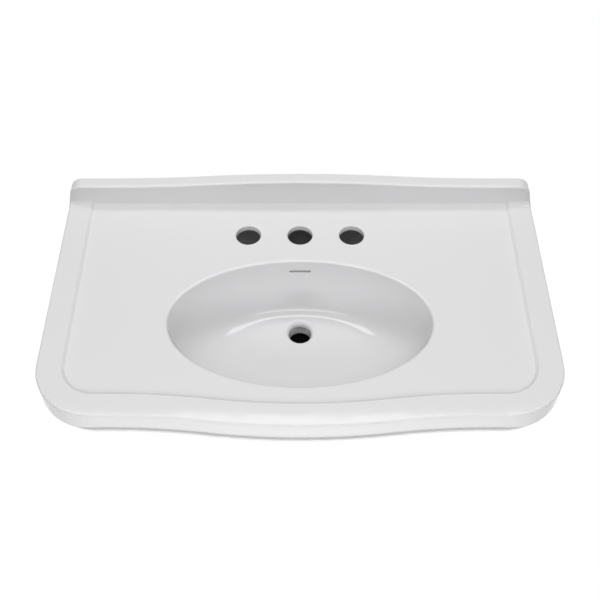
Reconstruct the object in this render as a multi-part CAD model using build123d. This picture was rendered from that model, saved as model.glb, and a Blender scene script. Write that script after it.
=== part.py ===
"""Wall-mounted console sink top: one glazed ceramic casting and the two bolt sets that hang it on the wall.

Millimetres. X runs along the wall, the sink stands out from the wall towards -Y, and Z is up.
The wall's surface is the plane y = 0 and the flat rim's top is the plane z = 0.
"""
from build123d import *
from math import atan, cos, degrees, radians, sin, sqrt, tan
import os

# Plan of the casting: straight back and sides, round front corners, bowed front.
width = 930.0
depth_at_corners = 521.0
bow_rise = 20.0
bow_to_corner = 33.0
corner_radius = 107.0

# Rim, the sloped step inside it, and the recessed deck.
rim_width = 43.2
step_width = 7.6
step_drop = 5.0
step_edge_chamfer = 1.5
deck_thickness = 12.0
outer_edge_chamfer = 2.4

# Apron round the outside, with a small bead along its lower front edge.
apron_height = 45.0
apron_thickness = 12.0
bead_height = 5.6
bead_reach = 4.0
bead_corner_growth = 13.0
bead_edge_chamfer = 1.5
underside_corner_chamfer = 4.0

# Backsplash: higher in the middle, round at its ends, coved into the rim and the deck.
splash_thickness = 24.5
splash_end_height = 47.5
splash_rise = 12.5
splash_flat = 70.0
splash_end_radius = 25.0
cove_radius = 9.0

# Bowl: an oval lip, a steep rear wall, easier front and side walls, a flat patch round the drain.
bowl_half_width = 244.0
bowl_rear = 172.4
bowl_front = 458.8
bowl_depth = 135.0
bowl_wall = 10.0
bowl_lip_radius = 4.0
lip_bands = 2
rear_draft = 7.0
rear_heel = 22.0
front_draft = 14.0
front_heel = 150.0
side_draft = 14.0
side_heel = 120.0
bowl_bands = 8

# Drain through the boss under the bowl.
drain_land = 1.56
drain_radius = 22.0
drain_mouth_radius = 11.0
mouth_bands = 3
drain_length = 22.0
boss_wall = 12.0

# Overflow: a slot in the bowl's rear wall and a cast channel behind it, down to the drain.
slot_width = 43.0
slot_height = 5.5
slot_drop = 27.0
channel_width = 46.0
channel_depth = 13.0
channel_floor = 12.0
channel_wall = 8.0
port_width = 24.0
port_height = 8.2

# Three faucet holes in the deck.
faucet_spacing = 101.6
faucet_from_wall = 104.8
faucet_hole_radius = 24.2
faucet_edge_chamfer = 1.5

# Fixing panel behind the bowl, with a hole for each wall bolt, and the ribs that tie it to the bowl.
panel_width = 500.0
panel_depth = 165.0
panel_thickness = 14.0
panel_corner_radius = 30.0
bolt_spacing = 280.0
bolt_drop = 95.0
fixing_hole_radius = 9.0
rib_thickness = 10.0
inner_rib_spacing = 102.0
inner_rib_drop = 120.0
outer_rib_spacing = 430.0
outer_rib_drop = 70.0
rib_taper = 0.5

# Wall bolt set: lag thread in the wall, machine thread, bush, washer and nut in front of the panel.
lag_radius = 5.0
lag_length = 62.0
lag_point = 5.0
lag_tip_radius = 2.5
shank_radius = 4.5
lag_start = 1.0
bolt_beyond_nut = 8.0
fit_gap = 0.1
bush_play = 0.3
bush_flange_radius = 14.0
bush_flange_thickness = 3.0
bush_short_of_wall = 2.0
washer_radius = 10.5
washer_thickness = 2.0
nut_across_flats = 16.0
nut_height = 8.0

# How far a cutting solid runs past the face that it opens.
overshoot = 1.0

bow_half_run = width / 2 - corner_radius - bow_to_corner
splash_half_run = width / 2 - splash_end_radius - splash_flat
deck_z = -step_drop
underside_z = deck_z - deck_thickness
apron_z = -apron_height
bowl_floor_z = deck_z - bowl_depth
boss_z = bowl_floor_z - drain_mouth_radius - drain_length
splash_face_y = -splash_thickness
front_y = -depth_at_corners - bow_rise
bolt_z = -bolt_drop


def bow(half_run, rise, inset=0.0):
    """Three tangent arcs, left to right, that climb from height 0 at both ends to the rise in the middle.

    inset moves the whole curve down, square to itself.
    """
    turn = 2 * atan(rise / half_run)
    radius = half_run / (2 * sin(turn))
    sweep = degrees(turn)
    return [
        CenterArc((-half_run, radius), radius + inset, 270, sweep),
        CenterArc((0, rise - radius), radius - inset, 90 + sweep, -2 * sweep),
        CenterArc((half_run, radius), radius + inset, 270 - sweep, sweep),
    ]


def plan_outline(inset=0.0, back=0.0, reach=0.0, corner_growth=0.0):
    """The casting's outline seen from above, moved inwards by inset, with its back line at y = -back."""
    side = width / 2 - inset
    front = depth_at_corners + reach - inset
    corner = corner_radius + corner_growth - inset
    ahead = Location((0, -depth_at_corners - reach, 0))
    arcs = [ahead * edge.mirror(Plane.XZ) for edge in bow(bow_half_run, bow_rise, inset)]
    edges = [
        *arcs,
        Line((bow_half_run, -front), (side - corner, -front)),
        CenterArc((side - corner, corner - front), corner, 270, 90),
        Line((side, corner - front), (side, -back)),
        Line((side, -back), (-side, -back)),
        Line((-side, -back), (-side, corner - front)),
        CenterArc((corner - side, corner - front), corner, 180, 90),
        Line((corner - side, -front), (-bow_half_run, -front)),
    ]
    return Face(Wire(edges))


def between(outline, low, high):
    """A solid with the given plan outline between two heights."""
    return extrude(Location((0, 0, low)) * outline, amount=high - low, dir=(0, 0, 1))


def nearest_edge(body, x, y, z):
    """The edge nearest to a point. A chamfer on it runs on along every edge that is tangent to it."""
    return body.edges().sort_by_distance((x, y, z))[0]


def rim_and_deck():
    """The flat rim with the deck pressed down inside it, before the backsplash covers its rear end."""
    body = between(plan_outline(), apron_z, 0)
    recess = loft(
        [
            Location((0, 0, deck_z)) * plan_outline(rim_width + step_width, back=-cove_radius),
            plan_outline(rim_width, back=-cove_radius),
        ],
        ruled=True,
    )
    body -= recess
    return chamfer(nearest_edge(body, 0, rim_width + front_y, 0), step_edge_chamfer)


def bead():
    """The moulding along the apron's lower front edge, which runs into the round corners and ends there."""
    outline = plan_outline(reach=bead_reach, corner_growth=bead_corner_growth)
    strip = between(outline, apron_z, apron_z + bead_height)
    low_edge = nearest_edge(strip, 0, front_y - bead_reach, apron_z)
    high_edge = nearest_edge(strip, 0, front_y - bead_reach, apron_z + bead_height)
    return chamfer([low_edge, high_edge], bead_edge_chamfer)


def apron_hollow():
    """The open space under the deck, inside the apron and the fixing panel."""
    hollow = between(plan_outline(apron_thickness, back=panel_thickness), apron_z - overshoot, underside_z)
    return chamfer(hollow.faces().sort_by(Axis.Z)[-1].edges(), underside_corner_chamfer)


def splash_section(x, floor):
    """The backsplash cut across at x, with its cove standing on a floor at the given height."""
    top = splash_end_height + splash_rise + cove_radius
    foot = splash_face_y - cove_radius
    with_cove = Wire(
        [
            Line((0, underside_z), (foot, underside_z)),
            Line((foot, underside_z), (foot, floor)),
            CenterArc((foot, floor + cove_radius), cove_radius, 270, 90),
            Line((splash_face_y, floor + cove_radius), (splash_face_y, top)),
            Line((splash_face_y, top), (0, top)),
            Line((0, top), (0, underside_z)),
        ]
    )
    across = Plane(origin=(x, 0, 0), x_dir=(0, 1, 0), z_dir=(1, 0, 0))
    return Face(across.from_local_coords(with_cove))


def backsplash():
    """A low wall along the back: its foot follows the rim, the step and the deck, its top the bow."""
    rim_inside = width / 2 - rim_width
    deck_edge = rim_inside - step_width
    stations = [
        (-width / 2, 0),
        (-rim_inside, 0),
        (-deck_edge, deck_z),
        (deck_edge, deck_z),
        (rim_inside, 0),
        (width / 2, 0),
    ]
    wall = loft([splash_section(x, floor) for x, floor in stations], ruled=True)
    side = width / 2
    shoulder = splash_end_height - splash_end_radius
    lift = Location((0, splash_end_height, 0))
    elevation = Wire(
        [
            *[lift * edge for edge in bow(splash_half_run, splash_rise)],
            Line((splash_half_run, splash_end_height), (side - splash_end_radius, splash_end_height)),
            CenterArc((side - splash_end_radius, shoulder), splash_end_radius, 90, -90),
            Line((side, shoulder), (side, underside_z)),
            Line((side, underside_z), (-side, underside_z)),
            Line((-side, underside_z), (-side, shoulder)),
            CenterArc((splash_end_radius - side, shoulder), splash_end_radius, 180, -90),
            Line((splash_end_radius - side, splash_end_height), (-splash_half_run, splash_end_height)),
        ]
    )
    face = Plane.XZ * Face(elevation)
    reach = splash_thickness + cove_radius + overshoot
    return wall & extrude(face, amount=reach, dir=(0, -1, 0))


def wall_inset(drop, depth, draft, heel):
    """How far a bowl wall stands in from its lip at a drop below it: a drafted line, then a round heel."""
    slope = radians(draft)
    heel_top = depth - heel * (1 - sin(slope))
    if drop <= heel_top:
        return drop * tan(slope)
    below = heel - (depth - drop)
    return heel_top * tan(slope) + heel * cos(slope) - sqrt(heel**2 - below**2)


# The drain stands clear of the rear wall by its round heel, a strip of flat floor and its own mouth.
drain_from_wall = (
    bowl_rear
    + wall_inset(bowl_depth, bowl_depth, rear_draft, rear_heel)
    + drain_land
    + drain_mouth_radius
    + drain_radius
)


def rounding(radius, bands):
    """Points down a rounded edge as (how far out, how far down), from its top to its foot."""
    turns = [radians(90 * n / bands) for n in range(bands + 1)]
    return [(radius * (1 - sin(turn)), radius * (1 - cos(turn))) for turn in turns]


def bowl_section(drop, grow, flare):
    """The oval of the bowl at a drop below the deck, grown by a wall's thickness and flared at its lip."""
    depth = bowl_depth + grow
    outward = grow + flare
    rear = bowl_rear - outward + wall_inset(drop, depth, rear_draft, rear_heel + grow)
    front = bowl_front + outward - wall_inset(drop, depth, front_draft, front_heel + grow)
    half_width = bowl_half_width + outward - wall_inset(drop, depth, side_draft, side_heel + grow)
    centre = Location((0, -(rear + front) / 2, deck_z - drop))
    return centre * Face(Wire(Edge.make_ellipse(half_width, (front - rear) / 2)))


def bowl_form(grow, lip):
    """The bowl as a solid: its hollow with grow at 0, or its outside with grow at the wall's thickness.

    lip is the edge that it starts from, as (how far out, how far down).
    """
    depth = bowl_depth + grow
    drops = [depth * sin(radians(90 * n / bowl_bands)) for n in range(1, bowl_bands + 1)]
    ovals = [bowl_section(down, grow, out) for out, down in lip]
    ovals += [bowl_section(drop, grow, 0) for drop in drops]
    return loft(ovals, ruled=True)


def rear_wall_y(drop, grow):
    """Where the bowl's rear wall stands on the centre line at a drop below the deck."""
    return -(bowl_rear - grow + wall_inset(drop, bowl_depth + grow, rear_draft, rear_heel + grow))


def prism_across(points, total_width, middle=0.0):
    """A solid with a Y-Z outline that is centred on x = middle."""
    across = Plane(origin=(middle - total_width / 2, 0, 0), x_dir=(0, 1, 0), z_dir=(1, 0, 0))
    outline = Wire.make_polygon([across.from_local_coords(Vector(*point)) for point in points])
    return extrude(Face(outline), amount=total_width, dir=(1, 0, 0))


def overflow_shaft(top, clear):
    """The shaft behind the bowl, from under the deck to the boss, grown by clear at its back and foot."""
    floor_z = bowl_floor_z - bowl_wall
    knee = bowl_depth - rear_heel
    back_high = rear_wall_y(slot_drop, bowl_wall) + channel_depth + clear
    back_low = rear_wall_y(knee, bowl_wall) + channel_depth + clear
    front = drain_radius + boss_wall - drain_from_wall
    points = [
        (back_high, top),
        (back_low, floor_z),
        (back_low - channel_floor, floor_z - channel_floor - clear),
        (front, floor_z - channel_floor - clear),
        (front, bowl_floor_z - bowl_wall / 2),
        (rear_wall_y(slot_drop, 0), top),
    ]
    return prism_across(points, channel_width + 2 * clear)


def overflow_housing():
    """The walls of the overflow shaft, open towards the bowl."""
    shaft_top = deck_z - slot_drop + slot_height
    return overflow_shaft(underside_z, channel_wall) - overflow_shaft(shaft_top, 0)


def overflow_slot():
    """The slot through the bowl's rear wall into the shaft."""
    slot = Plane.XZ * SlotOverall(slot_width, slot_height)
    place = Location((0, rear_wall_y(slot_drop, -bowl_wall), deck_z - slot_drop))
    return extrude(place * slot, amount=2 * bowl_wall + channel_depth / 2, dir=(0, 1, 0))


def overflow_port():
    """The opening from the foot of the shaft into the side of the drain's bore."""
    low = bowl_floor_z - bowl_wall - channel_floor
    high = low + port_height
    behind = drain_radius + boss_wall + slot_height - drain_from_wall
    points = [(-drain_from_wall, low), (behind, low), (behind, high), (-drain_from_wall, high)]
    return prism_across(points, port_width)


def turned(points):
    """A solid of revolution about Z from (radius, height) points."""
    outline = Wire.make_polygon([Vector(radius, 0, height) for radius, height in points])
    return revolve(Face(outline), Axis.Z)


def ring(inner_radius, outer_radius, low, high):
    """A plain ring about Z."""
    return turned([(inner_radius, low), (outer_radius, low), (outer_radius, high), (inner_radius, high)])


def upright(x, y, radius, low, high):
    """A vertical cylinder."""
    return Location((x, y, low)) * Cylinder(radius, high - low, align=(Align.CENTER, Align.CENTER, Align.MIN))


def drain():
    """The hollow of the drain: its rounded mouth in the bowl's floor and its bore through the boss."""
    mouth = [(drain_radius + out, bowl_floor_z - down) for out, down in rounding(drain_mouth_radius, mouth_bands)]
    outline = [(0, bowl_floor_z), *mouth, (drain_radius, boss_z - overshoot), (0, boss_z - overshoot)]
    return Location((0, -drain_from_wall, 0)) * turned(outline)


def fixing_panel():
    """The panel behind the bowl that bears on the wall, with a hole for each wall bolt."""
    height = panel_depth + underside_z
    panel = Location((0, -panel_thickness / 2, underside_z - height / 2)) * Box(
        panel_width, panel_thickness, height
    )
    low_corners = panel.edges().filter_by(Axis.Y).group_by(Axis.Z)[0]
    panel = fillet(low_corners, panel_corner_radius)
    for side in (-1, 1):
        place = Location((side * bolt_spacing / 2, 0, bolt_z), (90, 0, 0))
        panel -= place * Cylinder(fixing_hole_radius, 3 * panel_thickness)
    return panel


def rib(middle, drop, reach):
    """A rib from the panel to the bowl, shallower at the bowl."""
    root = -panel_thickness / 2
    points = [
        (root, underside_z),
        (root, underside_z - drop),
        (-reach, underside_z - rib_taper * drop),
        (-reach, underside_z),
    ]
    return prism_across(points, rib_thickness, middle)


def ribs():
    """Two ribs beside the overflow and one near each end of the panel."""
    made = []
    for side in (-1, 1):
        made.append(rib(side * inner_rib_spacing / 2, inner_rib_drop, bowl_rear))
        oval = sqrt(1 - (outer_rib_spacing / 2 / bowl_half_width) ** 2)
        meets_bowl = (bowl_rear + bowl_front) / 2 - (bowl_front - bowl_rear) / 2 * oval
        made.append(rib(side * outer_rib_spacing / 2, outer_rib_drop, meets_bowl))
    return made


def basin():
    """The whole casting."""
    body = rim_and_deck() + bead() + backsplash()
    splash_top = nearest_edge(body, 0, splash_face_y, splash_end_height + splash_rise)
    body = chamfer(splash_top, outer_edge_chamfer)
    body -= apron_hollow()
    body += fixing_panel()
    body += ribs()
    body += overflow_housing()
    body += upright(0, -drain_from_wall, drain_radius + boss_wall, boss_z, bowl_floor_z - bowl_wall / 2)
    body += bowl_form(bowl_wall, [(0, 0)])
    body -= bowl_form(0, rounding(bowl_lip_radius, lip_bands))
    body -= drain()
    body -= overflow_slot()
    body -= overflow_port()
    for step in (-1, 0, 1):
        body -= upright(step * faucet_spacing, -faucet_from_wall, faucet_hole_radius, underside_z - overshoot, 0)
    hole_edges = [
        nearest_edge(body, step * faucet_spacing, -faucet_hole_radius - faucet_from_wall, deck_z)
        for step in (-1, 0, 1)
    ]
    return chamfer(hole_edges, faucet_edge_chamfer)


# Along a bolt, heights are measured out of the wall.
flange_height = panel_thickness
washer_height = flange_height + bush_flange_thickness
nut_low = washer_height + washer_thickness
nut_high = nut_low + nut_height
bolt_end = nut_high + bolt_beyond_nut


def hanger_bolt():
    """A bolt with a lag thread at one end and a machine thread at the other."""
    return turned(
        [
            (0, -lag_length),
            (lag_tip_radius, -lag_length),
            (lag_radius, lag_point - lag_length),
            (lag_radius, lag_start),
            (shank_radius, lag_start),
            (shank_radius, bolt_end),
            (0, bolt_end),
        ]
    )


def sleeve_bush():
    """A flanged bush that keeps the steel off the ceramic."""
    bore = shank_radius + fit_gap
    sleeve = ring(bore, fixing_hole_radius - bush_play, bush_short_of_wall, flange_height)
    return sleeve + ring(bore, bush_flange_radius, flange_height, washer_height)


def washer():
    """A plain washer under the nut."""
    return ring(shank_radius + bush_play, washer_radius, washer_height, nut_low)


def nut():
    """A hexagon nut."""
    hexagon = RegularPolygon(nut_across_flats / 2, 6, major_radius=False)
    blank = extrude(Location((0, 0, nut_low)) * hexagon, amount=nut_height)
    return blank - upright(0, 0, shank_radius + fit_gap, nut_low, nut_high)


def main():
    os.makedirs("parts", exist_ok=True)
    pieces = {"basin": basin()}
    for name, side in (("left", -1), ("right", 1)):
        place = Location((side * bolt_spacing / 2, 0, bolt_z), (90, 0, 0))
        pieces[f"hanger_bolt_{name}"] = place * hanger_bolt()
        pieces[f"sleeve_bush_{name}"] = place * sleeve_bush()
        pieces[f"washer_{name}"] = place * washer()
        pieces[f"nut_{name}"] = place * nut()
    for name, piece in pieces.items():
        export_step(piece, f"parts/{name}.step")


main()
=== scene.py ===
import bpy
import bmesh
import math
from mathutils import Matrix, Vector


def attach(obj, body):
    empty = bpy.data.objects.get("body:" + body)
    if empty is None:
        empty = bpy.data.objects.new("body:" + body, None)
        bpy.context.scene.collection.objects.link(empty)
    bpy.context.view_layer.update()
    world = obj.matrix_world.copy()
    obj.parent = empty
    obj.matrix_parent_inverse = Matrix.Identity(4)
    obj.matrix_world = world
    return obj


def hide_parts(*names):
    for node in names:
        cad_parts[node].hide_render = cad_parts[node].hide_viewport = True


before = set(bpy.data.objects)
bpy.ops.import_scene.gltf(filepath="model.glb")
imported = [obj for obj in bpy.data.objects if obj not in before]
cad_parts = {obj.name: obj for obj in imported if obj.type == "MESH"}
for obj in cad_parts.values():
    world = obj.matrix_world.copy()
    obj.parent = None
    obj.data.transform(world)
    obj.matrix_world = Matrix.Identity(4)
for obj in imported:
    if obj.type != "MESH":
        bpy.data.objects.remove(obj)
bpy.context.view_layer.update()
bpy.ops.object.select_all(action="DESELECT")


# In metres: places closer than near count as the same, and points closer than mergeWithin become one
near = 1e-5
mergeWithin = 2e-6


def selectOnly(piece):
    bpy.ops.object.select_all(action="DESELECT")
    piece.select_set(True)
    bpy.context.view_layer.objects.active = piece


def startEdit(piece):
    selectOnly(piece)
    bpy.ops.object.mode_set(mode="EDIT")


def endEdit():
    bpy.ops.object.mode_set(mode="OBJECT")


def pickPoints(piece, wanted):
    bpy.ops.mesh.select_mode(type="VERT")
    bpy.ops.mesh.select_all(action="DESELECT")
    mesh = bmesh.from_edit_mesh(piece.data)
    for vertex in mesh.verts:
        if wanted(vertex.co):
            vertex.select = True
    mesh.select_flush_mode()
    bmesh.update_edit_mesh(piece.data)


def pickEdges(piece, wanted):
    bpy.ops.mesh.select_mode(type="EDGE")
    bpy.ops.mesh.select_all(action="DESELECT")
    mesh = bmesh.from_edit_mesh(piece.data)
    for edge in mesh.edges:
        if wanted(edge):
            edge.select = True
    mesh.select_flush_mode()
    bmesh.update_edit_mesh(piece.data)


def pickFaces(piece, wanted):
    bpy.ops.mesh.select_mode(type="FACE")
    bpy.ops.mesh.select_all(action="DESELECT")
    mesh = bmesh.from_edit_mesh(piece.data)
    for face in mesh.faces:
        if wanted(face):
            face.select = True
    mesh.select_flush_mode()
    bmesh.update_edit_mesh(piece.data)


def extrudeBy(move):
    bpy.ops.mesh.extrude_region_move(TRANSFORM_OT_translate={"value": move})


# A drawn outline starts from one point and goes on by straight lines and arcs
def startLine(name, point):
    bpy.ops.mesh.primitive_plane_add(size=0.001, location=point)
    piece = bpy.context.object
    piece.name = name
    bpy.ops.object.transform_apply(location=True)
    bpy.ops.object.mode_set(mode="EDIT")
    bpy.ops.mesh.select_mode(type="VERT")
    bpy.ops.mesh.select_all(action="SELECT")
    bpy.ops.mesh.merge(type="CENTER")
    return piece


def penPoint(piece):
    mesh = bmesh.from_edit_mesh(piece.data)
    return [vertex.co.copy() for vertex in mesh.verts if vertex.select][0]


def lineTo(piece, point):
    extrudeBy(Vector(point) - penPoint(piece))


def arcAbout(piece, centre, turn, steps, axis=(0, 0, 1)):
    # A positive turn is anticlockwise seen from the axis's tip, and spin turns the other way
    bpy.ops.mesh.spin(steps=steps, angle=-turn, center=centre, axis=axis)


def closeLine():
    bpy.ops.mesh.select_all(action="SELECT")
    bpy.ops.mesh.remove_doubles(threshold=mergeWithin)
    bpy.ops.mesh.edge_face_add()


def faceOutwards():
    bpy.ops.mesh.select_all(action="SELECT")
    bpy.ops.mesh.normals_make_consistent(inside=False)


def pushSolid(move):
    extrudeBy(move)
    faceOutwards()


def drawSolid(name, points, move):
    piece = startLine(name, points[0])
    for point in points[1:]:
        lineTo(piece, point)
    lineTo(piece, points[0])
    closeLine()
    pushSolid(move)
    endEdit()
    return piece


def combine(piece, tools, how):
    for tool in tools:
        selectOnly(piece)
        cut = piece.modifiers.new(how.lower(), "BOOLEAN")
        cut.operation = how
        cut.solver = "EXACT"
        cut.object = tool
        bpy.ops.object.modifier_apply(modifier=cut.name)
        bpy.data.objects.remove(tool)
    startEdit(piece)
    bpy.ops.mesh.select_all(action="SELECT")
    bpy.ops.mesh.remove_doubles(threshold=mergeWithin)
    endEdit()


def roundEdges(piece, wanted, radius, steps):
    startEdit(piece)
    pickEdges(piece, wanted)
    bpy.ops.mesh.bevel(offset=radius, segments=steps, affect="EDGES", clamp_overlap=False)
    endEdit()


def isSharp(edge, least=60):
    return len(edge.link_faces) == 2 and math.degrees(edge.calc_face_angle(0)) > least


# The casting's sizes in metres, those of the solid, but for the roundings that show only close up, the slope
# of the step and the leaning ends of the backsplash
castSizes = {
    "width": 0.930, "depthAtCorners": 0.521, "bowRise": 0.020, "bowToCorner": 0.033, "cornerRadius": 0.107,
    "rimWidth": 0.0432, "stepWidth": 0.0076, "stepDrop": 0.005, "stepRounding": 0.0014, "slopeWidth": 0.0054,
    "deckThickness": 0.012, "edgeRounding": 0.004, "edgeSteps": 6, "backRounding": 0.0012, "backSteps": 2,
    "apronHeight": 0.045, "apronThickness": 0.012, "lowRounding": 0.002, "lowSteps": 4,
    "hollowRounding": 0.004, "hollowSteps": 3,
    "beadHeight": 0.0056, "beadReach": 0.004, "beadGrowth": 0.013, "beadRounding": 0.0019, "beadSteps": 4,
    "splashThickness": 0.0245, "splashEnd": 0.0475, "splashRise": 0.0125, "splashFlatEnd": 0.095,
    "splashCorner": 0.026, "splashLean": 13, "splashStock": 0.080, "coveRadius": 0.009, "coveTop": 0.012,
    "cornerSteps": 28, "bowSteps": 14, "coveSteps": 8, "stepSteps": 4,
    "splashCornerSteps": 12, "splashBowSteps": 16,
}


def bowShape(halfRun, rise):
    turn = 2 * math.atan(rise / halfRun)
    return turn, halfRun / (2 * math.sin(turn))


def drawPlan(name, height, inset=0.0, backLine=0.0, reach=0.0, growth=0.0):
    cast = castSizes
    side = cast["width"] / 2 - inset
    ahead = -cast["depthAtCorners"] - reach
    front = ahead + inset
    corner = cast["cornerRadius"] + growth - inset
    halfRun = cast["width"] / 2 - cast["cornerRadius"] - cast["bowToCorner"]
    turn, radius = bowShape(halfRun, cast["bowRise"])
    quarter = math.radians(90)
    plan = startLine(name, (-side, backLine, height))
    lineTo(plan, (-side, front + corner, height))
    arcAbout(plan, (corner - side, front + corner, height), quarter, cast["cornerSteps"])
    lineTo(plan, (-halfRun, front, height))
    arcAbout(plan, (-halfRun, ahead - radius, height), -turn, cast["bowSteps"])
    arcAbout(plan, (0, ahead - cast["bowRise"] + radius, height), 2 * turn, 2 * cast["bowSteps"])
    arcAbout(plan, (halfRun, ahead - radius, height), -turn, cast["bowSteps"])
    lineTo(plan, (side - corner, front, height))
    arcAbout(plan, (side - corner, front + corner, height), quarter, cast["cornerSteps"])
    lineTo(plan, (side, backLine, height))
    lineTo(plan, (-side, backLine, height))
    closeLine()
    bpy.ops.mesh.flip_normals()
    return plan


def stepProfile():
    # From the rim down to the deck: a round shoulder, a slope and a round foot, as inset moves
    cast = castSizes
    slope = math.atan(cast["stepDrop"] / cast["slopeWidth"])
    start = (cast["stepWidth"] - cast["slopeWidth"]) / 2
    radius, steps = cast["stepRounding"], cast["stepSteps"]
    lead = radius * math.tan(slope / 2)
    points = [(start - lead, 0)]
    for n in range(1, steps + 1):
        turn = slope * n / steps
        points.append((start - lead + radius * math.sin(turn), -radius * (1 - math.cos(turn))))
    foot = [(cast["stepWidth"] - x, -cast["stepDrop"] - z) for x, z in reversed(points)]
    return points + foot


def makeTray():
    # The outline is drawn on past the wall, and all behind the splash's foot is cut off again, so that the
    # step runs straight into the splash
    cast, pastWall = castSizes, 0.1
    tray = drawPlan("glazedBasin", 0, backLine=pastWall)
    inset, depth = -cast["rimWidth"], 0
    for across, down in stepProfile():
        bpy.ops.mesh.inset(thickness=across - inset, depth=down - depth)
        inset, depth = across, down
    foot = -cast["splashThickness"] - cast["coveRadius"]
    wallHeight = cast["apronHeight"] - cast["lowRounding"]
    bpy.ops.mesh.select_all(action="SELECT")
    bpy.ops.mesh.bisect(plane_co=(0, foot, 0), plane_no=(0, 1, 0), clear_outer=True)

    # The cove, the splash's face and its back grow out of the cut edge
    pickEdges(tray, lambda edge: all(abs(vertex.co.y - foot) < near for vertex in edge.verts))
    before = Vector((0, 0))
    for n in range(1, cast["coveSteps"] + 1):
        turn = math.radians(90) * n / cast["coveSteps"]
        now = Vector((math.sin(turn), 1 - math.cos(turn))) * cast["coveRadius"]
        extrudeBy((0, now.x - before.x, now.y - before.y))
        before = now
    bpy.ops.mesh.extrude_region_move()
    bpy.ops.transform.resize(value=(1, 1, 0), center_override=(0, 0, cast["coveTop"]))
    extrudeBy((0, 0, cast["splashStock"] - cast["coveTop"]))
    extrudeBy((0, cast["splashThickness"], 0))
    extrudeBy((0, 0, -cast["splashStock"] - wallHeight))

    # The apron hangs from the front outline, then the two ends and the underside are closed
    side = cast["width"] / 2
    pickEdges(tray, lambda edge: edge.is_boundary and all(
        abs(v.co.z) < near and v.co.y < foot + near for v in edge.verts))
    extrudeBy((0, 0, -wallHeight))
    for end in (-side, side):
        pickPoints(tray, lambda point: abs(point.z + wallHeight) < near and abs(point.x - end) < near
                   and point.y > foot - near)
        bpy.ops.mesh.edge_face_add()
        pickEdges(tray, lambda edge: edge.is_wire or edge.is_boundary and all(
            abs(v.co.x - end) < near and v.co.y > foot - near for v in edge.verts))
        bpy.ops.mesh.edge_face_add()
    pickEdges(tray, lambda edge: edge.is_boundary)
    bpy.ops.mesh.edge_face_add()
    bpy.ops.mesh.select_all(action="SELECT")
    bpy.ops.mesh.remove_doubles(threshold=mergeWithin)
    bpy.ops.mesh.normals_make_consistent(inside=False)

    # The underside goes on down in rings that draw in, so that the foot is round
    pickFaces(tray, lambda face: all(abs(vertex.co.z + wallHeight) < near for vertex in face.verts))
    inset, depth = 0, 0
    for short, across in rounding(cast["lowRounding"], cast["lowSteps"])[1:]:
        down = cast["lowRounding"] - short
        bpy.ops.mesh.inset(thickness=across - inset, depth=down - depth)
        inset, depth = across, down
    endEdit()
    return tray


def makeSplashCutter():
    # All that is above the splash's top line, with its bow, its round corners and its leaning ends.
    # It starts a hair above the rim, and reaches past the casting on every side
    cast = castSizes
    foot, start, through, over, high = 0.0006, -0.06, 0.1, 0.02, 0.15
    side = cast["width"] / 2
    corner, lean = cast["splashCorner"], math.radians(cast["splashLean"])
    shoulder = cast["splashEnd"] - corner * (1 - math.sin(lean))
    narrow = side - (shoulder - foot) * math.tan(lean)
    middle = narrow - corner * math.cos(lean)
    halfRun = side - cast["splashFlatEnd"]
    turn, radius = bowShape(halfRun, cast["splashRise"])
    endTurn = math.radians(90) - lean
    cornerSteps, bowSteps, axis = cast["splashCornerSteps"], cast["splashBowSteps"], (0, -1, 0)
    line = startLine("splashCutter", (-side - over, start, foot))
    lineTo(line, (-side, start, foot))
    lineTo(line, (-narrow, start, shoulder))
    arcAbout(line, (-middle, start, cast["splashEnd"] - corner), -endTurn, cornerSteps, axis)
    lineTo(line, (-halfRun, start, cast["splashEnd"]))
    arcAbout(line, (-halfRun, start, cast["splashEnd"] + radius), turn, bowSteps, axis)
    arcAbout(line, (0, start, cast["splashEnd"] + cast["splashRise"] - radius), -2 * turn, 2 * bowSteps, axis)
    arcAbout(line, (halfRun, start, cast["splashEnd"] + radius), turn, bowSteps, axis)
    lineTo(line, (middle, start, cast["splashEnd"]))
    arcAbout(line, (middle, start, cast["splashEnd"] - corner), -endTurn, cornerSteps, axis)
    lineTo(line, (side, start, foot))
    lineTo(line, (side + over, start, foot))
    lineTo(line, (side + over, start, high))
    lineTo(line, (-side - over, start, high))
    lineTo(line, (-side - over, start, foot))
    closeLine()
    pushSolid((0, through, 0))
    endEdit()
    return line


def makeBead():
    # A slice of the casting that reaches out only at the front, and is flush with the apron at the sides
    cast = castSizes
    backLine, roundFrom = -0.2, -0.21
    bead = drawPlan("bead", -cast["apronHeight"], backLine=backLine, reach=cast["beadReach"],
                    growth=cast["beadGrowth"])
    pushSolid((0, 0, cast["beadHeight"]))
    endEdit()
    roundEdges(bead, lambda edge: isSharp(edge) and abs(edge.verts[0].co.z - edge.verts[1].co.z) < near
               and min(v.co.y for v in edge.verts) < roundFrom, cast["beadRounding"], cast["beadSteps"])
    return bead


def makeApronHollow():
    # Drawn just below the apron's foot and taken up, so that its flare rounds the foot's inner edge
    cast = castSizes
    top, low, under = -cast["stepDrop"] - cast["deckThickness"], cast["lowRounding"], 0.0001
    hollow = drawPlan("apronHollow", -cast["apronHeight"] - under, inset=cast["apronThickness"] - low,
                      backLine=low - panelSizes["backWall"])
    before = (low, 0)
    for across, up in rounding(low, cast["lowSteps"])[1:]:
        bpy.ops.mesh.inset(thickness=before[0] - across, depth=up - before[1])
        before = (across, up)
    extrudeBy((0, 0, top + cast["apronHeight"] - low + under))
    pickEdges(hollow, lambda edge: edge.is_boundary)
    bpy.ops.mesh.edge_face_add()
    faceOutwards()
    endEdit()
    roundEdges(hollow, lambda edge: isSharp(edge) and all(v.co.z > top - near for v in edge.verts),
               cast["hollowRounding"], cast["hollowSteps"])
    return hollow


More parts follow.
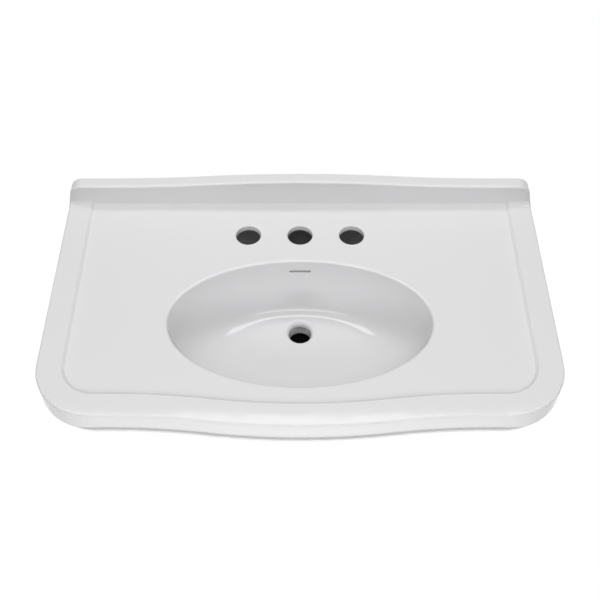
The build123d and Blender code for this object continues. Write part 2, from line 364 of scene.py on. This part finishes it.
# The panel that bears on the wall, and the ribs that tie it to the bowl
panelSizes = {
    "width": 0.500, "depth": 0.165, "thickness": 0.014, "corner": 0.030, "cornerSteps": 10,
    "backWall": 0.0132, "boltSpacing": 0.280, "boltDrop": 0.095, "hole": 0.009, "holeLength": 0.08,
    "ribThickness": 0.010, "innerRib": (0.051, 0.120, 0.1724), "outerRib": (0.215, 0.070, 0.2478),
    "ribTaper": 0.5,
}


def makePanel():
    top = -castSizes["stepDrop"] - castSizes["deckThickness"] / 2
    half, thick, low = panelSizes["width"] / 2, panelSizes["thickness"], -panelSizes["depth"]
    atCorner = lambda edge: (all(abs(v.co.z - low) < near for v in edge.verts)
                             and abs(edge.verts[0].co.x - edge.verts[1].co.x) < near)
    corners = [(-half, 0, top), (half, 0, top), (half, 0, low), (-half, 0, low)]
    panel = drawSolid("panel", corners, (0, -thick, 0))
    roundEdges(panel, atCorner, panelSizes["corner"], panelSizes["cornerSteps"])
    return panel


def makeRib(middle, drop, reach):
    top = -castSizes["stepDrop"] - castSizes["deckThickness"]
    hidden = top + castSizes["deckThickness"] / 2
    root, left = -panelSizes["thickness"] / 2, middle - panelSizes["ribThickness"] / 2
    foot = top - panelSizes["ribTaper"] * drop
    points = [(left, root, hidden), (left, root, top - drop), (left, -reach, foot), (left, -reach, hidden)]
    return drawSolid("rib", points, (panelSizes["ribThickness"], 0, 0))


def makeHole(name, point, radius, length, axis="Z", vertices=48):
    turn = {"Z": (0, 0, 0), "Y": (math.radians(90), 0, 0)}[axis]
    bpy.ops.mesh.primitive_cylinder_add(vertices=vertices, radius=radius, depth=length, location=point,
                                        rotation=turn)
    hole = bpy.context.object
    hole.name = name
    bpy.ops.object.transform_apply(location=True, rotation=True)
    return hole


# The bowl's lip, walls and floor, and the drain and the overflow in it. A draft is a wall's lean in degrees,
# and a heel is the radius of the round that joins it to the floor
bowlSizes = {
    "halfWidth": 0.244, "rear": 0.1724, "front": 0.4588, "depth": 0.135, "wall": 0.010, "lip": 0.004,
    "rearDraft": 7, "rearHeel": 0.022, "frontDraft": 14, "frontHeel": 0.150,
    "sideDraft": 14, "sideHeel": 0.120, "around": 144, "insideRings": 44, "outsideRings": 20, "lipSteps": 6,
    "drainFromWall": 0.243, "drain": 0.022, "mouth": 0.011, "mouthSteps": 10, "drainLength": 0.022,
    "drainAround": 64, "bossWall": 0.012,
    "slotWidth": 0.043, "slotHeight": 0.0055, "slotDrop": 0.027,
    "channelWidth": 0.046, "channelDepth": 0.013, "channelFloor": 0.012, "channelWall": 0.008,
    "portWidth": 0.024, "portHeight": 0.0082,
}


# Cutters start and end this far past the faces that they cut
passBy = 0.01


def wallInset(drop, depth, draft, heel):
    # How far in from the lip the bowl's wall stands at a drop below the deck
    slope = math.radians(draft)
    heelTop = depth - heel * (1 - math.sin(slope))
    if drop <= heelTop:
        return drop * math.tan(slope)
    below = heel - (depth - drop)
    return heelTop * math.tan(slope) + heel * math.cos(slope) - math.sqrt(max(heel ** 2 - below ** 2, 0))


def bowlRing(drop, grow, flare=0.0):
    # (half width, half depth, middle y, height) of the bowl's oval at a drop below the deck
    bowl = bowlSizes
    depth, out = bowl["depth"] + grow, grow + flare
    rear = bowl["rear"] - out + wallInset(drop, depth, bowl["rearDraft"], bowl["rearHeel"] + grow)
    front = bowl["front"] + out - wallInset(drop, depth, bowl["frontDraft"], bowl["frontHeel"] + grow)
    half = bowl["halfWidth"] + out - wallInset(drop, depth, bowl["sideDraft"], bowl["sideHeel"] + grow)
    return half, (front - rear) / 2, -(rear + front) / 2, -castSizes["stepDrop"] - drop


def rounding(radius, steps):
    # A quarter round as steps out from the wall below it and down from the face above it
    turns = [math.radians(90) * n / steps for n in range(steps + 1)]
    return [(radius * (1 - math.sin(turn)), radius * (1 - math.cos(turn))) for turn in turns]


def stackRings(name, rings, around):
    # A closed form drawn out ring by ring, each ring scaled and moved from the one before
    half, deep, middle, height = rings[0]
    bpy.ops.mesh.primitive_circle_add(vertices=around, radius=1, fill_type="NGON",
                                      location=(0, middle, height))
    form = bpy.context.object
    form.name = name
    form.scale = (half, deep, 1)
    bpy.ops.object.transform_apply(location=True, scale=True)
    startEdit(form)
    pickEdges(form, lambda edge: True)
    for nextHalf, nextDeep, nextMiddle, nextHeight in rings[1:]:
        bpy.ops.mesh.extrude_edges_move()
        bpy.ops.transform.resize(value=(nextHalf / half, nextDeep / deep, 1),
                                 center_override=(0, middle, height))
        bpy.ops.transform.translate(value=(0, nextMiddle - middle, nextHeight - height))
        half, deep, middle, height = nextHalf, nextDeep, nextMiddle, nextHeight
    bpy.ops.mesh.edge_face_add()
    faceOutwards()
    endEdit()
    return form


def makeBowlForm(name, grow, lip, ringCount):
    # The rings crowd together towards the floor, and none lies closer than a millimetre under the lip
    depth, gap = bowlSizes["depth"] + grow, 0.001
    drops = [depth * math.sin(math.radians(90) * n / ringCount) for n in range(1, ringCount + 1)]
    rings = [bowlRing(down, grow, out) for out, down in lip]
    rings += [bowlRing(drop, grow) for drop in drops if drop > lip[-1][1] + gap]
    return stackRings(name, rings, bowlSizes["around"])


def makeBowlHollow():
    lip = rounding(bowlSizes["lip"], bowlSizes["lipSteps"])
    above = (lip[0][0], -passBy)
    return makeBowlForm("bowlHollow", 0, [above] + lip, bowlSizes["insideRings"])


def makeDrainHollow():
    bowl = bowlSizes
    floor = -castSizes["stepDrop"] - bowl["depth"]
    radius = bowl["drain"]
    middle = -bowl["drainFromWall"]
    end = floor - bowl["mouth"] - bowl["drainLength"] - passBy
    edge = [(radius + out, floor - down) for out, down in rounding(bowl["mouth"], bowl["mouthSteps"])]
    profile = [(edge[0][0], floor + passBy)] + edge + [(radius, end)]
    return stackRings("drainHollow", [(r, r, middle, z) for r, z in profile], bowl["drainAround"])


def rearWall(drop, grow):
    bowl = bowlSizes
    lean = wallInset(drop, bowl["depth"] + grow, bowl["rearDraft"], bowl["rearHeel"] + grow)
    return -(bowl["rear"] - grow + lean)


def makeShaft(name, top, clear, front):
    # The overflow's channel behind the bowl, down to below its floor and forward to the boss
    bowl, step, slant = bowlSizes, 0.002, 0.03
    floor = -castSizes["stepDrop"] - bowl["depth"]
    under = floor - bowl["wall"]
    knee = bowl["depth"] - bowl["rearHeel"]
    backHigh = rearWall(bowl["slotDrop"], bowl["wall"]) + bowl["channelDepth"] + clear
    backLow = rearWall(knee, bowl["wall"]) + bowl["channelDepth"] + clear
    foot = under - bowl["channelFloor"] - clear
    left = -bowl["channelWidth"] / 2 - clear
    points = [(backHigh, top), (backLow, under), (backLow - bowl["channelFloor"], foot), (front, foot),
              (front, under + step), (front + slant, top)]
    return drawSolid(name, [(left, y, z) for y, z in points], (-2 * left, 0, 0))


def makeHousing():
    # The shaft's walls, open towards the bowl, whose own wall and boss close them
    bowl, cast = bowlSizes, castSizes
    front, shaftFront = -0.235, -0.240
    housing = makeShaft("housing", -cast["stepDrop"] - cast["deckThickness"] / 2, bowl["channelWall"], front)
    shaft = makeShaft("shaft", -cast["stepDrop"] - bowl["slotDrop"] + bowl["slotHeight"], 0, shaftFront)
    combine(housing, [shaft], "DIFFERENCE")
    return housing


def makeSlot():
    bowl = bowlSizes
    radius = bowl["slotHeight"] / 2
    spread = bowl["slotWidth"] / 2 - radius
    height = -castSizes["stepDrop"] - bowl["slotDrop"]
    length = 2 * bowl["wall"] + bowl["channelDepth"] / 2
    start = rearWall(bowl["slotDrop"], -bowl["wall"])
    slot = makeHole("slot", (0, start + length / 2, height), radius, length, "Y", vertices=24)
    startEdit(slot)
    for side in (-1, 1):
        pickPoints(slot, lambda point: side * point.x > near)
        bpy.ops.transform.translate(value=(side * spread, 0, 0))
    endEdit()
    return slot


def makePort():
    # It runs from the channel into the drain, with its floor a hair above the channel's
    bowl, lift = bowlSizes, 0.0004
    low = -castSizes["stepDrop"] - bowl["depth"] - bowl["wall"] - bowl["channelFloor"] + lift
    behind = bowl["drain"] + bowl["bossWall"] + bowl["slotHeight"] - bowl["drainFromWall"]
    left, high = -bowl["portWidth"] / 2, low + bowl["portHeight"]
    points = [(-bowl["drainFromWall"], low), (behind, low), (behind, high), (-bowl["drainFromWall"], high)]
    return drawSolid("port", [(left, y, z) for y, z in points], (bowl["portWidth"], 0, 0))


faucetHoles = {
    "spacing": 0.1016, "fromWall": 0.1048, "radius": 0.0242, "edge": 0.0028, "edgeSteps": 6, "around": 64,
}


def makeFaucetHoles():
    holes, deck = faucetHoles, -castSizes["stepDrop"]
    edge = rounding(holes["edge"], holes["edgeSteps"])
    profile = [(holes["radius"] + holes["edge"], deck + passBy)]
    profile += [(holes["radius"] + out, deck - down) for out, down in edge]
    profile += [(holes["radius"], deck - castSizes["deckThickness"] - passBy)]
    made = []
    for side in (-1, 0, 1):
        hole = stackRings("faucetHole", [(r, r, -holes["fromWall"], z) for r, z in profile], holes["around"])
        startEdit(hole)
        bpy.ops.mesh.select_all(action="SELECT")
        bpy.ops.transform.translate(value=(side * holes["spacing"], 0, 0))
        endEdit()
        made.append(hole)
    return made


def makeBasin():
    cast, bowl, panel = castSizes, bowlSizes, panelSizes
    basin = makeTray()
    combine(basin, [makeSplashCutter()], "DIFFERENCE")
    combine(basin, [makeBead()], "UNION")
    combine(basin, [makeApronHollow()], "DIFFERENCE")
    ribs = [makeRib(side * middle, drop, reach) for side in (-1, 1)
            for middle, drop, reach in (panel["innerRib"], panel["outerRib"])]
    floor = -cast["stepDrop"] - bowl["depth"]
    bossLength = bowl["mouth"] + bowl["drainLength"] - bowl["wall"] / 2
    bossMiddle = floor - bowl["wall"] / 2 - bossLength / 2
    bossPlace, bossRadius = (0, -bowl["drainFromWall"], bossMiddle), bowl["drain"] + bowl["bossWall"]
    boss = makeHole("boss", bossPlace, bossRadius, bossLength)
    hiddenInDeck = (0, 0.005)
    outside = makeBowlForm("bowlOutside", bowl["wall"], [hiddenInDeck], bowl["outsideRings"])
    combine(basin, [makePanel()] + ribs + [makeHousing(), boss, outside], "UNION")
    print("underside done", len(basin.data.polygons))
    boltPlaces = [(side * panel["boltSpacing"] / 2, 0, -panel["boltDrop"]) for side in (-1, 1)]
    boltHoles = [makeHole("boltHole", place, panel["hole"], panel["holeLength"], "Y") for place in boltPlaces]
    carved = [makeBowlHollow(), makeDrainHollow(), makeSlot(), makePort()]
    combine(basin, carved + boltHoles + makeFaucetHoles(), "DIFFERENCE")
    print("openings done", len(basin.data.polygons))
    atBack = lambda edge: all(v.co.y > -near for v in edge.verts)
    onTop = lambda edge: isSharp(edge) and all(v.co.z > -near for v in edge.verts)
    roundEdges(basin, lambda edge: onTop(edge) and not atBack(edge), cast["edgeRounding"], cast["edgeSteps"])
    roundEdges(basin, lambda edge: onTop(edge) and atBack(edge), cast["backRounding"], cast["backSteps"])
    print("roundings done", len(basin.data.polygons))

    # The mitre of the rounding at each end of the splash stands a millimetre outside the casting, and the bead
    # a rounding error, so both are pressed back flush
    side, front = cast["width"] / 2, cast["depthAtCorners"] + cast["bowRise"] + cast["beadReach"]
    startEdit(basin)
    for outside, flat, place in (
        (lambda point: point.x > side, (0, 1, 1), (side, 0, 0)),
        (lambda point: point.x < -side, (0, 1, 1), (-side, 0, 0)),
        (lambda point: point.y < -front, (1, 0, 1), (0, -front, 0)),
    ):
        pickPoints(basin, outside)
        bpy.ops.transform.resize(value=flat, center_override=place)
    endEdit()

    # Faces that meet at a gentle angle are shaded as one, and the broad flat ones stay flat
    selectOnly(basin)
    bpy.ops.object.shade_smooth_by_angle(angle=math.radians(38))
    keep = basin.modifiers.new("flatKeeper", "WEIGHTED_NORMAL")
    keep.keep_sharp = True
    keep.weight = 100
    bpy.ops.object.modifier_apply(modifier=keep.name)
    return basin


basin = makeBasin()
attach(basin, "root")
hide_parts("basin")
print("basin done")


def hexColour(code):
    channels = [int(code[i:i + 2], 16) / 255 for i in (0, 2, 4)]
    return [c / 12.92 if c <= 0.04045 else ((c + 0.055) / 1.055) ** 2.4 for c in channels] + [1.0]


def addNode(owner, kind, values=None, **settings):
    node = owner.node_tree.nodes.new("ShaderNode" + kind)
    for name, value in settings.items():
        setattr(node, name, value)
    for socket, value in (values or {}).items():
        if isinstance(value, bpy.types.NodeSocket):
            owner.node_tree.links.new(value, node.inputs[socket])
        else:
            node.inputs[socket].default_value = value
    return node


def emptyMaterial(name):
    material = bpy.data.materials.new(name)
    material.use_nodes = True
    material.node_tree.nodes.clear()
    return material


# White vitreous china under a sprayed glaze: a bright, cool-neutral white with a deep wet gloss whose
# reflections waver a little; bare fired clay, creamy and dull, where it meets the wall and stood in the kiln
chinaLook = {
    "glaze": "E0E0E1", "glazeRoughness": 0.06, "glazeIor": 1.52,
    "clay": "E4DCCD", "clayRoughness": 0.75, "clayGrainMm": 0.9, "clayGrainMetres": 0.00006,
    "waveMm": 34, "waveMetres": 0.00009,
    "backMetres": -0.0006, "footMetres": -0.0446, "lowestFootMetres": -0.0456, "facingDown": -0.5,
}

# Bright zinc plate, dried in the drum: pale grey metal with a soft sheen, faintly clouded blue and straw
zincLook = {
    "pale": "C9CCCC", "cloud": "BDBBAF", "roughness": 0.27, "dull": 0.38, "cloudMm": 4,
    "scuffMm": 0.5, "scuffMetres": 0.000012,
}

# Natural nylon: milky, a little yellow, smooth as moulded with a low sheen
nylonLook = {
    "milk": "E3DFD0", "shade": "D8D2BF", "roughness": 0.42, "cloudMm": 6, "glow": 0.15, "glowMetres": 0.002,
}


def perMetre(millimetres):
    return 1000 / millimetres


def makeGlazedChina():
    look = chinaLook
    material = emptyMaterial("glazedVitreousChina")
    place = addNode(material, "TexCoord").outputs["Object"]
    apart = addNode(material, "SeparateXYZ", {"Vector": place}).outputs
    swell = addNode(material, "TexNoise", {"Vector": place, "Scale": perMetre(look["waveMm"]), "Detail": 1})
    wave = addNode(material, "Bump", {"Height": swell.outputs["Fac"], "Distance": look["waveMetres"]})
    glaze = addNode(material, "BsdfPrincipled", {
        "Base Color": hexColour(look["glaze"]), "Roughness": look["glazeRoughness"], "IOR": look["glazeIor"],
        "Normal": wave.outputs["Normal"],
    })
    gritScale = perMetre(look["clayGrainMm"])
    grit = addNode(material, "TexNoise", {"Vector": place, "Scale": gritScale, "Detail": 4})
    grain = addNode(material, "Bump", {"Height": grit.outputs["Fac"], "Distance": look["clayGrainMetres"]})
    clay = addNode(material, "BsdfPrincipled", {
        "Base Color": hexColour(look["clay"]), "Roughness": look["clayRoughness"],
        "Normal": grain.outputs["Normal"],
    })
    atWall = addNode(material, "Math", {0: apart["Y"], 1: look["backMetres"]}, operation="GREATER_THAN")
    below = addNode(material, "Math", {0: apart["Z"], 1: look["footMetres"]}, operation="LESS_THAN")
    above = addNode(material, "Math", {0: apart["Z"], 1: look["lowestFootMetres"]}, operation="GREATER_THAN")
    normal = addNode(material, "NewGeometry").outputs["True Normal"]
    facing = addNode(material, "SeparateXYZ", {"Vector": normal})
    down = addNode(material, "Math", {0: facing.outputs["Z"], 1: look["facingDown"]}, operation="LESS_THAN")
    level = addNode(material, "Math", {0: below.outputs[0], 1: above.outputs[0]}, operation="MULTIPLY")
    foot = addNode(material, "Math", {0: level.outputs[0], 1: down.outputs[0]}, operation="MULTIPLY")
    bare = addNode(material, "Math", {0: atWall.outputs[0], 1: foot.outputs[0]}, operation="MAXIMUM")
    mixed = addNode(material, "MixShader", {"Fac": bare.outputs[0], 1: glaze.outputs[0], 2: clay.outputs[0]})
    addNode(material, "OutputMaterial", {"Surface": mixed.outputs[0]})
    return material


def makeZincPlate():
    look = zincLook
    material = emptyMaterial("zincPlatedSteel")
    place = addNode(material, "TexCoord").outputs["Object"]
    clouds = addNode(material, "TexNoise", {"Vector": place, "Scale": perMetre(look["cloudMm"])})
    cloud = clouds.outputs["Fac"]
    colour = addNode(material, "Mix", {0: cloud, 6: hexColour(look["pale"]), 7: hexColour(look["cloud"])},
                     data_type="RGBA")
    rough = addNode(material, "MapRange", {
        "Value": cloud, "To Min": look["roughness"], "To Max": look["dull"],
    })
    rubbed = addNode(material, "TexNoise", {"Vector": place, "Scale": perMetre(look["scuffMm"]), "Detail": 3})
    scuffs = addNode(material, "Bump", {"Height": rubbed.outputs["Fac"], "Distance": look["scuffMetres"]})
    shader = addNode(material, "BsdfPrincipled", {
        "Base Color": colour.outputs[2], "Metallic": 1.0, "Roughness": rough.outputs[0],
        "Normal": scuffs.outputs["Normal"],
    })
    addNode(material, "OutputMaterial", {"Surface": shader.outputs[0]})
    return material


def makeNylon():
    look = nylonLook
    material = emptyMaterial("naturalNylon")
    place = addNode(material, "TexCoord").outputs["Object"]
    clouds = addNode(material, "TexNoise", {"Vector": place, "Scale": perMetre(look["cloudMm"])})
    cloud = clouds.outputs["Fac"]
    colour = addNode(material, "Mix", {0: cloud, 6: hexColour(look["milk"]), 7: hexColour(look["shade"])},
                     data_type="RGBA")
    shader = addNode(material, "BsdfPrincipled", {
        "Base Color": colour.outputs[2], "Roughness": look["roughness"],
        "Subsurface Weight": look["glow"], "Subsurface Scale": look["glowMetres"],
    })
    addNode(material, "OutputMaterial", {"Surface": shader.outputs[0]})
    return material


def dress(piece, material):
    piece.data.materials.clear()
    piece.data.materials.append(material)


china, zinc, nylon = makeGlazedChina(), makeZincPlate(), makeNylon()
dress(basin, china)
for name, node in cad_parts.items():
    dress(node, china if name == "basin" else nylon if name.startswith("sleeve") else zinc)
print("materials done")


# The studio, in metres: an oval's shade is full within its soft share of the way out, and gone at its edge.
# The shade under the sink and the dark spot under the drain are painted shadows on the floor, its glow dimmed
# by place
studio = {
    "floorHeight": -0.20, "floorSize": 30.0, "floorColour": "282828", "floorGlow": 0.99,
    # Painted shadow: the floor's glow is dimmed by place in this oval under the sink
    "shade": {"middle": (0, -0.17), "half": (0.50, 0.30), "soft": 0.30, "least": 0.50},
    # Painted shadow: a dark spot on the floor under the drain, where its glow goes out
    "paintedDrainShadow": {"middle": (0, -0.225), "half": (0.085, 0.075), "soft": 0.45},
    "bounce": {"middle": (0, -0.84), "half": (0.85, 0.28), "soft": 0.80}, "bounceGlow": 1.9,
    "roomColour": "FFFFFF", "roomLow": 0.0, "roomHigh": 0.52, "roomGloss": 0.75,
    "topSoftbox": {"place": (0, 0.25, 2.3), "aim": (0, -0.25, 0), "size": (2.4, 1.1), "power": 32.0},
    "frontSoftbox": {"place": (0, -2.8, 1.2), "aim": (0, -0.3, 0), "size": (2.6, 1.4), "power": 37.0},
    "camera": {"place": (0, -1.3435, 1.363), "tilt": 38.18, "sensorMm": 36, "lensMm": 56.1},
}


def ovalMask(material, place, oval, inside, outside):
    # One value inside an oval on the floor and another outside it, with a soft edge between them
    (x, y), (halfX, halfY) = oval["middle"], oval["half"]
    moved = addNode(material, "Mapping", {
        "Vector": place, "Scale": (1 / halfX, 1 / halfY, 1), "Location": (-x / halfX, -y / halfY, 0),
    }).outputs[0]
    reach = addNode(material, "VectorMath", {0: moved}, operation="LENGTH").outputs["Value"]
    return addNode(material, "MapRange", {
        "Value": reach, "From Min": oval["soft"], "From Max": 1.0, "To Min": inside, "To Max": outside,
    }, interpolation_type="SMOOTHSTEP").outputs[0]


def layFloor():
    # A pale light table: it glows evenly, except in a painted soft shadow under the sink and a painted dark
    # spot under its drain, where its glow is dimmed by place, throws its light up at the sink from the front
    # only, and is clear when seen from below
    bpy.ops.mesh.primitive_plane_add(size=studio["floorSize"], location=(0, 0, studio["floorHeight"]))
    floor = bpy.context.object
    floor.name = "studioFloor"
    material = emptyMaterial("paleFloor")
    place = addNode(material, "TexCoord").outputs["Object"]
    rays = addNode(material, "LightPath").outputs
    # Painted shadow under the sink: there the glow drops to the least share for the camera and to nothing for
    # other rays
    least = addNode(material, "Math", {0: rays["Is Camera Ray"], 1: studio["shade"]["least"]},
                    operation="MULTIPLY")
    paintedSinkShadow = ovalMask(material, place, studio["shade"], least.outputs[0], 1)
    # Painted dark spot under the drain: the glow goes out there for every ray
    paintedDrainShadow = ovalMask(material, place, studio["paintedDrainShadow"], 0, 1)
    glowUnderPaintedShadows = addNode(material, "Math", {0: paintedSinkShadow, 1: paintedDrainShadow}, operation="MULTIPLY").outputs[0]
    bounce = ovalMask(material, place, studio["bounce"], studio["bounceGlow"], 0)
    power = addNode(material, "Mix", {0: rays["Is Diffuse Ray"], 2: studio["floorGlow"], 3: bounce},
                    data_type="FLOAT").outputs[0]
    strength = addNode(material, "Math", {0: glowUnderPaintedShadows, 1: power}, operation="MULTIPLY").outputs[0]
    glow = addNode(material, "Emission", {"Strength": strength})
    pale = addNode(material, "BsdfDiffuse", {"Color": hexColour(studio["floorColour"])})
    both = addNode(material, "AddShader", {0: glow.outputs[0], 1: pale.outputs[0]})
    clear = addNode(material, "BsdfTransparent")
    fromBelow = addNode(material, "NewGeometry").outputs["Backfacing"]
    shown = addNode(material, "MixShader", {"Fac": fromBelow, 1: both.outputs[0], 2: clear.outputs[0]})
    addNode(material, "OutputMaterial", {"Surface": shown.outputs[0]})
    dress(floor, material)


def hangSoftbox(name, box):
    away = Vector(box["place"]) - Vector(box["aim"])
    turn = away.to_track_quat("Z", "Y").to_euler()
    bpy.ops.object.light_add(type="AREA", location=box["place"], rotation=turn)
    lamp = bpy.context.object
    lamp.name = name
    lamp.data.shape = "RECTANGLE"
    lamp.data.size, lamp.data.size_y = box["size"]
    lamp.data.energy = box["power"]


def lightStudio():
    # A pale room that throws more light from above than from the horizon
    world = bpy.data.worlds.new("paleRoom")
    world.use_nodes = True
    room = world.node_tree.nodes["Background"]
    room.inputs["Color"].default_value = hexColour(studio["roomColour"])
    around = addNode(world, "TexCoord").outputs["Generated"]
    height = addNode(world, "SeparateXYZ", {"Vector": around}).outputs["Z"]
    bright = addNode(world, "MapRange", {
        "Value": height, "To Min": studio["roomLow"], "To Max": studio["roomHigh"],
    }).outputs[0]
    path = addNode(world, "LightPath").outputs
    mirrored = addNode(world, "Mix", {0: path["Is Glossy Ray"], 2: bright, 3: studio["roomGloss"]},
                       data_type="FLOAT")
    strength = addNode(world, "Mix", {0: path["Is Camera Ray"], 2: mirrored.outputs[0], 3: 1.0},
                       data_type="FLOAT").outputs[0]
    world.node_tree.links.new(strength, room.inputs["Strength"])
    bpy.context.scene.world = world
    for name in ("topSoftbox", "frontSoftbox"):
        hangSoftbox(name, studio[name])


def placeCamera():
    view = studio["camera"]
    bpy.ops.object.camera_add(location=view["place"], rotation=(math.radians(view["tilt"]), 0, 0))
    camera = bpy.context.object
    camera.name = "photoCamera"
    camera.data.sensor_width = view["sensorMm"]
    camera.data.lens = view["lensMm"]
    bpy.context.scene.camera = camera


layFloor()
lightStudio()
placeCamera()
bpy.context.scene.view_settings.view_transform = "Standard"
print("studio done")
